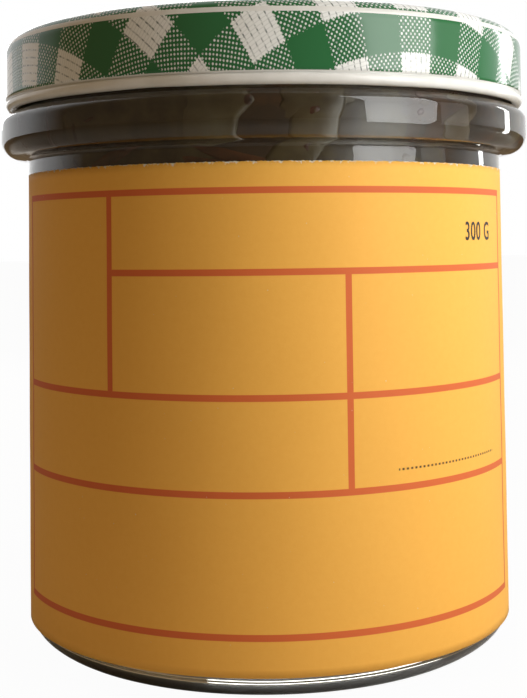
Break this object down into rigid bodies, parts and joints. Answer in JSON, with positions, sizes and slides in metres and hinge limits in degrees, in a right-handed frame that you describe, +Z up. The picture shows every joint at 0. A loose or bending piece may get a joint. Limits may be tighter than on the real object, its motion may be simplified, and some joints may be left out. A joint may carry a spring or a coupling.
{
  "type": "kimchi jar",
  "caption": "Round glass food jar full of kimchi, shut with a patterned twist-off cap, with a paper label round its front.",
  "frame": {"origin": "centre of the ring that the jar stands on, at floor level", "axes": "+Z up along the jar's axis, the label's middle faces -Y, +X to the right of someone facing the label"},
  "size_m": [0.0868, 0.087, 0.0968],
  "materials": {
    "glass": "clear pressed glass, smooth",
    "printed_tinplate": "lacquered green and white check, glossy",
    "kimchi": null,
    "label_paper": "matt orange-yellow printed paper"
  },
  "bodies": {
    "root": {"glass_jar": "glass", "cap": "printed_tinplate", "kimchi": "kimchi", "label": "label_paper"}
  },
  "joints": []
}
